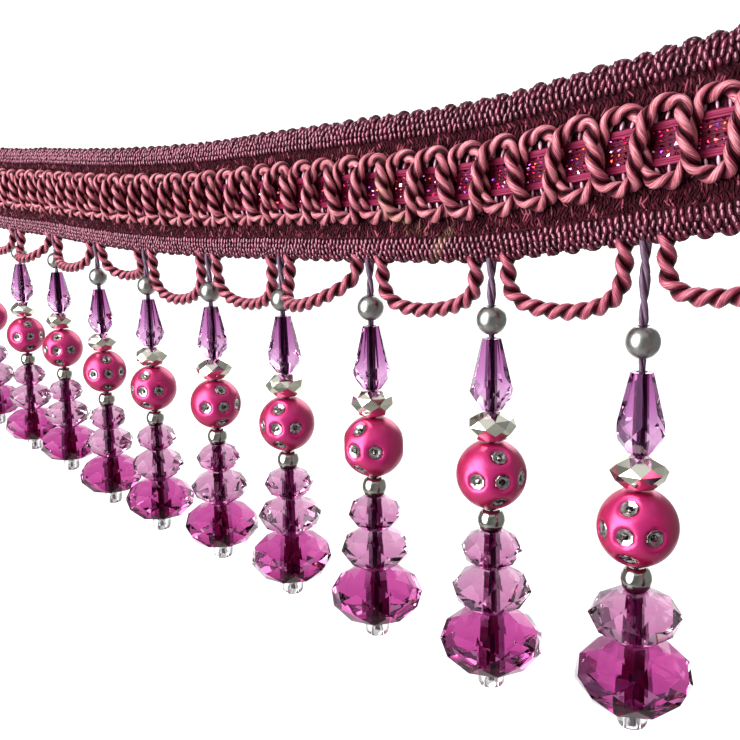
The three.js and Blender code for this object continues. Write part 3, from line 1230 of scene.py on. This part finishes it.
def cordValues(cord, sides=8):
    return {
        "Ply Radius": cord["plyRadius"] * mm,
        "Ply Offset": cord["plyOffset"] * mm,
        "Turn Length": cord["turnLength"] * mm,
        "Step": cord["step"] * mm,
        "Sides": sides,
    }


gimpFront = gimpCord("gimpFront", frontWinding, 1, 1.0)
gimpBack = gimpCord("gimpBack", backWinding, -1, gimp["slimBars"])

# Small pale stitches that tie the ribbon down between the cords
ties = {
    "spacing": braid["cell"] / 4,
    "width": 0.62,
    "depth": 0.6,
    "height": 1.7,
    "rows": [(9.9, 2.15, -18, 0, 0.4), (18.2, 2.15, 18, 0, 0.9)],
}
tieFloss = stitchMaterial(
    "rayonTieFloss",  # fine pale floss with a bright sheen
    {
        "roughness": 0.32,
        "specular": 0.9,
        "shine": "#ffe0ec",
        "sheen": 0.4,
        "bump": 0.2,
        "colours": [(0.0, "#a06078"), (1.0, "#e0b0c4")],
    },
)
tieStitches = sewRows(
    "tieStitches", ties["rows"],
    plumpStitch("tie", ties["width"], ties["depth"], ties["height"]), ties["spacing"],
    sizeChange=0.2, tiltChange=14, seed=23, material=tieFloss,
)
print("gimp cords done")

# Hanging cord loops, one between each two drops
loops = {
    "rootGap": 4.0,
    "rootDepth": 1.2,
    "plyRadius": 1.04,
    "plyOffset": 0.6,
    "turnLength": 7.0,
    "step": 0.45,
    "flatness": 0.42,
    "steps": 60,
}
# How deep each loop hangs, how far it swings out, and how much deeper it is towards its far end
loopHangs = [
    (9.8, 0.4, 0.1), (10.7, 0.0, -0.1), (10.2, -1.4, 0.1), (10.0, 4.6, 0.3), (12.4, -0.8, 0.0),
    (13.3, -1.2, 0.1), (9.0, -4.0, 0.2), (9.3, 2.4, 0.1), (9.2, 4.6, 0.2), (9.5, 0.8, 0.1),
]
roseCord = yarnMaterial(
    "rayonLoopCordRose",  # hard-twisted lustrous cord, with painted deep red shade in its grooves
    {
        "roughness": 0.36,
        "specular": 1.0,
        "shine": "#ffc0cc",
        "sheen": 0.04,
        "bump": 0.8,
        "fibre": (6.0, 6.0, 0.5),
        "grooveShade": (-0.75, 0.85),
        "grooveShadeDepth": 0.52,
        "colours": [
            (0.05, "#180206"), (0.25, "#400a18"), (0.42, "#782436"), (0.58, "#ac586c"), (0.7, "#f0a8b8"),
        ],
    },
)


def cordLoops():
    lines = []
    for index, (depth, swing, tilt) in enumerate(loopHangs):
        near = dropAlong(index) - loops["rootGap"]
        far = dropAlong(index + 1) + loops["rootGap"]
        angle = np.linspace(0, math.pi, loops["steps"])
        hang = np.sin(angle).clip(0, 1)
        along = (near + far) / 2 - (near - far) / 2 * np.cos(angle)
        fall = depth * hang ** loops["flatness"] * (1 + tilt * np.cos(angle))
        path = onBraid(along, braid["height"] + fall, braid["threadOut"] + swing * hang)
        roots = onBraid([far, near], braid["height"] - loops["rootDepth"], braid["threadOut"])
        lines.append(np.concatenate([roots[:1], path, roots[1:]]))
    base = polylines("cordLoops", lines, {"swell": [np.ones(len(line)) for line in lines]})
    return grow("cordLoops", base, cordTree, cordValues(loops), roseCord)


loopCords = cordLoops()
print("loops done")

# The bead threads, wide down to the silver ball and slim through the bores
threads = {
    "plyRadius": 0.66,
    "plyOffset": 0.44,
    "turnLength": 13.0,
    "step": 0.6,
    "atBall": 0.76,
    "slim": 0.58,
    "shoulder": 3.3,  # above the middle of the silver ball, where the thread starts to narrow
    "narrowed": 0.5,
    "bore": 1.2,
    "upperSteps": 16,
    "lowerSteps": 50,
    "inStopper": 0.6,
}
mauveThread = yarnMaterial(
    "polyesterBeadThread",  # doubled mauve-grey thread, slightly waxy
    {
        "roughness": 0.42,
        "specular": 0.6,
        "shine": "#e0c8e8",
        "sheen": 0.2,
        "bump": 0.5,
        "fibre": (8.0, 8.0, 0.5),
        "grooveShade": (-0.45, 0.0),
        "grooveShadeDepth": 0.3,
        "colours": [(0.1, "#1c0c18"), (0.35, "#3c2636"), (0.55, "#604a5c"), (0.75, "#8c788a")],
    },
)
# Below the teardrop's widest: the middle of the pearl and the top of the lower stack
falls = {"teardropHalf": 3.7, "rondelleHalf": 2.7, "pearl": 16.53, "stack": 23.65, "gap": 0.3}
stackHeights = {3: 36.6, 2: 29.7}  # by the count of crystals


# The middle of a drop's silver ball
def dropPlace(index):
    return onBraid(dropAlong(index), braid["height"] + drops[index]["thread"], braid["threadOut"])


def beadThreads():
    lines, swells = [], []
    for index in range(braid["drops"]):
        place = dropPlace(index)
        fall, crystals = drops[index]["fall"], drops[index]["crystals"]
        root = onBraid(dropAlong(index), braid["height"] - loops["rootDepth"], braid["threadOut"])[2]
        shoulder = place[2] + threads["shoulder"]
        end = place[2] - fall - falls["stack"] - stackHeights[crystals] + threads["inStopper"]
        upper, lower = threads["upperSteps"], threads["lowerSteps"]
        heights = [*np.linspace(root, shoulder, upper), shoulder - threads["narrowed"]]
        heights += [*np.linspace(shoulder - threads["bore"], end, lower)]
        lines.append(np.array([(place[0], place[1], z) for z in heights]))
        wide = np.linspace(1.0, threads["atBall"], upper)
        swells.append(np.array([*wide, *[threads["slim"]] * (lower + 1)]))
    base = polylines("beadThreads", lines, {"swell": swells})
    return grow("beadThreads", base, cordTree, cordValues(threads, 6), mauveThread)


threadPiece = beadThreads()
print("threads done")


# Beads. A row of a bead is radius, height, and 1 where its corners are turned half a side.
# The rows run from the top of the bore down the outside and back up through it.
def ringedBead(name, rows, sides):
    points = []
    for radius, height, turned in rows:
        for k in range(sides):
            angle = fullTurn * (k + turned / 2) / sides
            points.append((radius * math.cos(angle), radius * math.sin(angle), height))
    faces = []
    for r, row in enumerate(rows):
        following = (r + 1) % len(rows)
        for k in range(sides):
            n = (k + 1) % sides
            a, b = r * sides + k, r * sides + n
            c, d = following * sides + k, following * sides + n
            if row[2] == rows[following][2]:
                faces.append([a, c, d, b])
            elif row[2] < rows[following][2]:
                faces += [[a, c, b], [b, c, d]]
            else:
                faces += [[a, c, d], [a, d, b]]
    mesh = meshFrom(name, points, facedOutward(points, faces))
    radii, heights = (np.repeat([row[part] for row in rows], sides) for part in (0, 1))
    share = (heights - heights.min()) / np.ptp(heights)
    # The bore keeps level 0, which the acrylic tints paint dark as shade
    setNumbers(mesh, "level", np.where(radii > radii.min(), 0.2 + 0.8 * share, 0.0))
    return mesh


# Strings one bead on each place, turned about its thread
def string(name, beadMesh, places, turns, material, smooth):
    base = bpy.data.meshes.new(name + "Places")
    base.from_pydata((np.array(places) * mm).tolist(), [], [])
    setNumbers(base, "turn", turns)
    bead = template(name + "Bead", beadMesh)
    beadMesh.polygons.foreach_set("use_smooth", [smooth] * len(beadMesh.polygons))
    piece = grow(name, base, stringTree, {"Bead": bead}, material, smooth)
    bpy.data.objects.remove(bead)
    return piece


def placesBelow(fallOf):
    return [dropPlace(index) - np.array([0, 0, fallOf(index)]) for index in range(braid["drops"])]


# Rows of a round bead with a bore
def arcRows(radius, bore, steps):
    start = math.asin(bore / radius)
    angles = np.linspace(start, math.pi - start, steps + 1)
    return [(radius * math.sin(a), radius * math.cos(a), 0) for a in angles]


beads = {
    "bore": 1.0,
    "ballRadius": 2.9,
    "pearlRadius": 6.9,
    "facets": 8,
    "turnPerDrop": 0.65,
    "ballSides": 24,
    "smallBallSides": 20,
    "stopperSides": 16,
}
turnings = [beads["turnPerDrop"] * index for index in range(braid["drops"])]


def metalMaterial(name, hexCode, roughness, grain):
    # Silver-plated bead: bright with a soft haze from tumbling
    material, tree, shader = newMaterial(
        name, {"Base Color": colour(hexCode), "Metallic": 1.0, "Roughness": roughness}
    )
    place = addNode(tree, "ShaderNodeTexCoord")
    haze = addNode(
        tree, "ShaderNodeTexNoise", {"Vector": place.outputs["Object"], "Scale": 0.9 / mm, "Detail": 3.0}
    )
    spread = addNode(
        tree,
        "ShaderNodeMapRange",
        {"Value": haze.outputs[0], "To Min": roughness - grain, "To Max": roughness + grain},
    )
    setSockets(tree, shader, {"Roughness": spread.outputs["Result"]})
    return material


def acrylicMaterial(name, look):
    # Moulded acrylic crystal: clear and coloured through, its tint changing with height, with flow lines;
    # its bore is tinted dark as painted shade
    material, tree, shader = newMaterial(
        name,
        {
            "Roughness": look["roughness"],
            "IOR": look["bend"],
            "Transmission Weight": look["clear"],
            "Specular Tint": colour(look["shine"]),
        },
    )
    place = addNode(tree, "ShaderNodeTexCoord")
    flow = addNode(
        tree, "ShaderNodeTexNoise", {"Vector": place.outputs["Object"], "Scale": 0.16 / mm, "Detail": 2.0}
    )
    level = addNode(tree, "ShaderNodeAttribute", attribute_name="level")
    tint = addNode(tree, "ShaderNodeValToRGB", {"Fac": level.outputs["Fac"]})
    setStops(tint, look["colours"])
    relief = addNode(
        tree, "ShaderNodeBump", {"Height": flow.outputs[0], "Strength": 0.08, "Distance": 0.3 * mm}
    )
    setSockets(
        tree, shader, {"Base Color": tint.outputs["Color"], "Normal": relief.outputs["Normal"]}
    )
    return material


silverSatin = metalMaterial("silverPlateSatin", "#949490", 0.3, 0.05)
silverPolished = metalMaterial("silverPlatePolished", "#a6a69c", 0.14, 0.04)
silverMirror = metalMaterial("silverPlateMirror", "#ecead8", 0.1, 0.03)
amethystAcrylic = acrylicMaterial(
    "amethystAcrylic",
    {
        "roughness": 0.03,
        "bend": 1.34,
        "clear": 1.0,
        "shine": "#e0a0e0",
        "colours": [
            (0.0, "#4a1640"), (0.2, "#a85a98"), (0.36, "#cc9cc4"), (0.6, "#a868a0"), (1.0, "#984888"),
        ],
    },
)
paleAcrylic = acrylicMaterial(
    "paleMauveAcrylic",
    {
        "roughness": 0.03,
        "bend": 1.3,
        "clear": 1.0,
        "shine": "#e898cc",
        "colours": [
            (0.0, "#641450"), (0.2, "#a84084"), (0.45, "#b06c96"), (0.6, "#bc9aae"), (1.0, "#c2a8b6"),
        ],
    },
)
deepAcrylic = acrylicMaterial(
    "deepMagentaAcrylic",
    {
        "roughness": 0.03,
        "bend": 1.3,
        "clear": 1.0,
        "shine": "#d040a0",
        "colours": [
            (0.0, "#5c0838"), (0.2, "#84125c"), (0.45, "#9a2870"), (0.64, "#bc70a0"), (1.0, "#c484ac"),
        ],
    },
)
clearAcrylic = acrylicMaterial(
    "clearAcrylic",
    {
        "roughness": 0.12,
        "bend": 1.36,
        "clear": 0.94,
        "shine": "#ffffff",
        "colours": [(0.0, "#c8c8c8"), (0.2, "#e4e4e4"), (1.0, "#f2f2f2")],
    },
)

ballRows = arcRows(beads["ballRadius"], beads["bore"], beads["ballSides"] // 2)
silverBalls = string(
    "silverBalls", ringedBead("ball", ballRows, beads["ballSides"]),
    placesBelow(lambda i: 0.0), turnings, silverSatin, True,
)
teardropRows = [
    (1.0, 10.3, 0), (1.9, 10.25, 0), (3.9, 1.7, 0), (4.3, 0.1, 1),
    (3.7, -1.4, 0), (2.0, -3.65, 0), (1.0, -3.65, 0),
]
teardrops = string(
    "teardrops", ringedBead("teardrop", teardropRows, beads["facets"]),
    placesBelow(lambda i: drops[i]["fall"]), turnings, amethystAcrylic, False,
)
rondelleRows = [
    (1.0, 2.7, 0), (2.5, 2.7, 0), (4.3, 1.4, 1), (4.95, 0.0, 0),
    (4.4, -1.3, 1), (3.0, -2.7, 0), (1.0, -2.7, 0),
]
rondelleFall = falls["teardropHalf"] + falls["gap"] + falls["rondelleHalf"]
silverRondelles = string(
    "silverRondelles", ringedBead("rondelle", rondelleRows, beads["facets"]),
    placesBelow(lambda i: drops[i]["fall"] + rondelleFall), turnings, silverMirror, False,
)
print("balls, teardrops and rondelles done")

# Pearls with set stones: a cross of five stones on each of two opposite sides
stones = {
    "pocketRadius": 1.66,
    "pocketDepth": 0.8,
    "rimWidth": 0.3,
    "dishRadius": 2.9,
    "dishDepth": 0.2,
    "poleRadius": 1.1,
    "spread": 45,  # degrees from the middle stone of a cross to the others
    "cupSides": 8,
    "stoneSides": 4,
}


def stoneDirections():
    spread = stones["spread"]
    found = []
    for side in (0, 180):
        for turn, latitude in ((0, 0), (spread, 0), (-spread, 0), (0, spread), (0, -spread)):
            angle, tipped = math.radians(side + turn), math.radians(latitude)
            level = math.cos(tipped)
            found.append(Vector((math.cos(angle) * level, math.sin(angle) * level, math.sin(tipped))))
    return found


def pearlMesh():
    radius = beads["pearlRadius"]
    shape = bmesh.new()
    bmesh.ops.create_icosphere(shape, subdivisions=5, radius=radius)
    pockets = [(direction, stones["pocketRadius"]) for direction in stoneDirections()]
    pockets += [(Vector((0, 0, sign)), stones["poleRadius"]) for sign in (1, -1)]
    for point in shape.verts:
        for direction, width in pockets:
            angle = direction.angle(point.co)
            fromMiddle = angle * radius
            dish = min(1.0, (stones["dishRadius"] - fromMiddle) / (stones["dishRadius"] - width))
            inside = min(1.0, (width - fromMiddle) / stones["rimWidth"])
            if dish > 0:
                point.co -= direction * stones["dishDepth"] * dish * dish * (3 - 2 * dish)
            if inside > 0:
                point.co -= direction * stones["pocketDepth"] * inside
    for point in shape.verts:
        point.co *= mm
    mesh = bpy.data.meshes.new("pearl")
    shape.to_mesh(mesh)
    shape.free()
    return mesh


# A small ringed shape at each stone, facing straight out of the pearl
def settingMesh(name, rows, sides):
    points, faces = [], []
    for direction in stoneDirections():
        turn = direction.to_track_quat("Z", "Y").to_matrix()
        start = len(points)
        for radius, height in rows:
            for k in range(sides):
                angle = fullTurn * (k + 0.5) / sides
                point = turn @ Vector((radius * math.cos(angle), radius * math.sin(angle), height))
                points.append(tuple(point))
        for r in range(len(rows) - 1):
            for k in range(sides):
                a, b = start + r * sides + k, start + r * sides + (k + 1) % sides
                faces.append([a, a + sides, b + sides, b])
        faces.append([start + k for k in range(sides)])
        faces.append([start + (len(rows) - 1) * sides + k for k in range(sides)][::-1])
    return meshFrom(name, points, facedOutward(points, faces))


def pearlMaterial():
    # Pearlised acrylic: pink lacquer under a clear gloss, going crimson as it turns away; the crimson rim
    # is partly the lacquer's colour shift and partly painted shade
    material, tree, shader = newMaterial(
        "pearlisedAcrylicPink",
        {
            "Metallic": 0.42,
            "Roughness": 0.33,
            "IOR": 1.6,
            "Specular IOR Level": 1.0,
            "Specular Tint": colour("#ffd0ec"),
            "Coat Weight": 0.05,
            "Coat Roughness": 0.2,
            "Subsurface Weight": 0.1,
            "Subsurface Radius": (1.0, 0.3, 0.6),
            "Subsurface Scale": 0.001,
        },
    )
    # Painted shade in part: the colour goes darker crimson towards the rim
    away = addNode(tree, "ShaderNodeLayerWeight", {"Blend": 0.35})
    place = addNode(tree, "ShaderNodeTexCoord")
    cloud = addNode(
        tree, "ShaderNodeTexNoise", {"Vector": place.outputs["Object"], "Scale": 0.22 / mm, "Detail": 2.0}
    )
    mottle = addNode(
        tree, "ShaderNodeMapRange", {"Value": cloud.outputs[0], "To Min": -0.06, "To Max": 0.06}
    )
    shift = addNode(
        tree, "ShaderNodeMath", {0: away.outputs["Facing"], 1: mottle.outputs["Result"]}, operation="ADD"
    )
    lustre = addNode(tree, "ShaderNodeValToRGB", {"Fac": shift.outputs[0]})
    setStops(lustre, [(0.0, "#c01c6c"), (0.4, "#a80646"), (0.8, "#80001e"), (1.0, "#700014")])
    setSockets(tree, shader, {"Base Color": lustre.outputs["Color"]})
    return material


# A small metal or foiled part, blotched light and dark
def settingMaterial(name, look):
    material, tree, shader = newMaterial(
        name,
        {
            "Metallic": look["metallic"],
            "Roughness": look["roughness"],
            "Base Color": colour(look["middle"]),
        },
    )
    place = addNode(tree, "ShaderNodeTexCoord")
    marks = addNode(
        tree,
        "ShaderNodeTexNoise",
        {"Vector": place.outputs["Object"], "Scale": look["marks"] / mm, "Detail": look["detail"]},
    )
    blotches = addNode(tree, "ShaderNodeValToRGB", {"Fac": marks.outputs[0]})
    setStops(blotches, look["colours"])
    setSockets(tree, shader, {"Base Color": blotches.outputs["Color"]})
    return material


silverCup = settingMaterial(
    "stampedSilverCup",  # bright rim, tarnish in its bottom
    {
        "metallic": 1.0,
        "roughness": 0.2,
        "middle": "#c8c0c4",
        "marks": 1.5,
        "detail": 2.0,
        "colours": [(0.3, "#645e5c"), (0.65, "#bcb6b4")],
    },
)
foiledGlass = settingMaterial(
    "foilBackedGlass",  # its dark blotches are painted reflection, standing in for the dark seen in its facets
    {
        "metallic": 0.85,
        "roughness": 0.05,
        "middle": "#5a5458",
        "marks": 1.8,
        "detail": 1.0,
        "colours": [(0.35, "#161214"), (0.55, "#4a4446"), (0.7, "#bcb8b4")],
    },
)
pearlPlaces = placesBelow(lambda i: drops[i]["fall"] + falls["pearl"])
pearlTurns = [math.radians(drop["turn"]) for drop in drops]
pearls = string("pearls", pearlMesh(), pearlPlaces, pearlTurns, pearlMaterial(), True)
# Rows of a cup and a stone are radius and distance from the pearl's middle
cupRows = [(1.5, 5.8), (1.58, 6.3), (1.5, 6.38), (1.1, 6.32), (0.62, 6.1), (0.5, 5.95)]
stoneRows = [(0.36, 6.3), (0.66, 6.16), (0.66, 6.06), (0.3, 5.98)]
stoneCups = string(
    "stoneCups", settingMesh("cup", cupRows, stones["cupSides"]), pearlPlaces, pearlTurns,
    silverCup, False,
)
setStones = string(
    "setStones", settingMesh("stone", stoneRows, stones["stoneSides"]), pearlPlaces, pearlTurns,
    foiledGlass, False,
)
print("pearls done")

# The lower stack: small silver ball, crystal rondelles, clear stopper
stack = {
    "smallBallHeight": 4.4,
    "crystalHeights": {1: 7.6, 2: 9.4, 3: 12.0},
    "crystalBore": 1.5,
    "largeBore": 2.4,
    "seam": 0.04,
}
seam = stack["seam"]
smallBallRows = [
    (1.0, -seam, 0), (1.7, -seam, 0), (2.25, -0.6, 0), (2.6, -1.4, 0), (2.72, -2.2, 0),
    (2.6, -3.0, 0), (2.3, -3.8, 0), (1.9, -4.36, 0), (1.0, -4.36, 0),
]
crystalBore, largeBore = stack["crystalBore"], stack["largeBore"]
crystalRows = {
    1: [
        (crystalBore, -seam, 0), (2.6, -seam, 0), (4.9, -1.3, 1), (6.2, -3.8, 0), (5.0, -6.1, 1),
        (2.6, -7.56, 0), (crystalBore, -7.56, 0),
    ],
    2: [
        (crystalBore, -seam, 0), (3.2, -seam, 0), (6.5, -1.7, 1), (8.1, -4.4, 0), (6.7, -7.1, 1),
        (2.8, -9.36, 0), (crystalBore, -9.36, 0),
    ],
    3: [
        (largeBore, -seam, 0), (3.6, -seam, 0), (6.4, -0.8, 1), (9.3, -3.0, 0), (10.4, -5.3, 1),
        (10.2, -7.6, 0), (7.6, -10.6, 1), (3.2, -11.96, 0), (largeBore, -11.96, 0),
    ],
}
stopperRows = [
    (1.0, -seam, 0), (2.5, -seam, 0), (2.75, -0.9, 0), (2.7, -2.8, 0),
    (2.4, -3.5, 0), (1.8, -3.8, 0), (1.0, -3.8, 0),
]


def stackDown(index, which):
    # which: 0 the small ball, 1 to 3 the crystals from the smallest, 4 the stopper
    carried = [1, 2, 3] if drops[index]["crystals"] == 3 else [2, 3]
    down = drops[index]["fall"] + falls["stack"]
    if which == 0:
        return down
    down += stack["smallBallHeight"]
    for size in carried:
        if size == which:
            return down
        down += stack["crystalHeights"][size]
    return down


def stackPiece(name, mesh, which, material, smooth):
    carrying = [i for i in range(braid["drops"]) if which != 1 or drops[i]["crystals"] == 3]
    places = [dropPlace(i) - np.array([0, 0, stackDown(i, which)]) for i in carrying]
    return string(name, mesh, places, [turnings[i] for i in carrying], material, smooth)


smallBalls = stackPiece(
    "smallSilverBalls", ringedBead("smallBall", smallBallRows, beads["smallBallSides"]), 0,
    silverPolished, True,
)
crystalPieces = []
for which, name, acrylic in (
    (1, "smallCrystals", paleAcrylic),
    (2, "middleCrystals", paleAcrylic),
    (3, "largeCrystals", deepAcrylic),
):
    crystal = ringedBead(f"crystal{which}", crystalRows[which], beads["facets"])
    crystalPieces.append(stackPiece(name, crystal, which, acrylic, False))
stoppers = stackPiece(
    "stoppers", ringedBead("stopper", stopperRows, beads["stopperSides"]), 4, clearAcrylic, True
)
print("stacks done")


# Every piece rides on the one body and stands for its solids
def numbered(name):
    return [f"{name}_{index:02d}" for index in range(1, braid["drops"] + 1)]


stackNodes = numbered("crystal_stack")
outfit = [
    (braidCloth, "braid", ["braid_ground"]),
    (groundStrands, "braid", []),
    (upperStitches, "braid", []),
    (upperKnobs, "braid", []),
    (lowerBorder, "braid", ["fringe"]),
    (lowerStitches, "braid", []),
    (lowerKnobs, "braid", []),
    (ribbonBand, "ribbon", ["ribbon"]),
    (ribbonGlitter, "ribbon", []),
    (gimpFront, "gimp_cord", ["gimp_cord_front"]),
    (gimpBack, "gimp_cord", ["gimp_cord_back"]),
    (tieStitches, "gimp_cord", []),
    (loopCords, "fringe_cord", ["fringe"]),
    (threadPiece, "fringe_cord", ["fringe"]),
    (silverBalls, "silver", numbered("silver_ball")),
    (teardrops, "amethyst", numbered("teardrop")),
    (silverRondelles, "silver", numbered("silver_rondelle")),
    (pearls, "pearl", numbered("pearl")),
    (stoneCups, "silver", numbered("pearl")),
    (setStones, "silver", numbered("pearl")),
    (smallBalls, "silver", stackNodes),
    *((piece, "crystal", stackNodes) for piece in crystalPieces),
    (stoppers, "crystal", stackNodes),
]
for piece, slotName, nodes in outfit:
    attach(piece, "root")
    if nodes:
        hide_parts(*nodes)

total = sum(len(p.vertices) - 2 for piece, _, _ in outfit for p in piece.data.polygons)
print("triangles:", total)
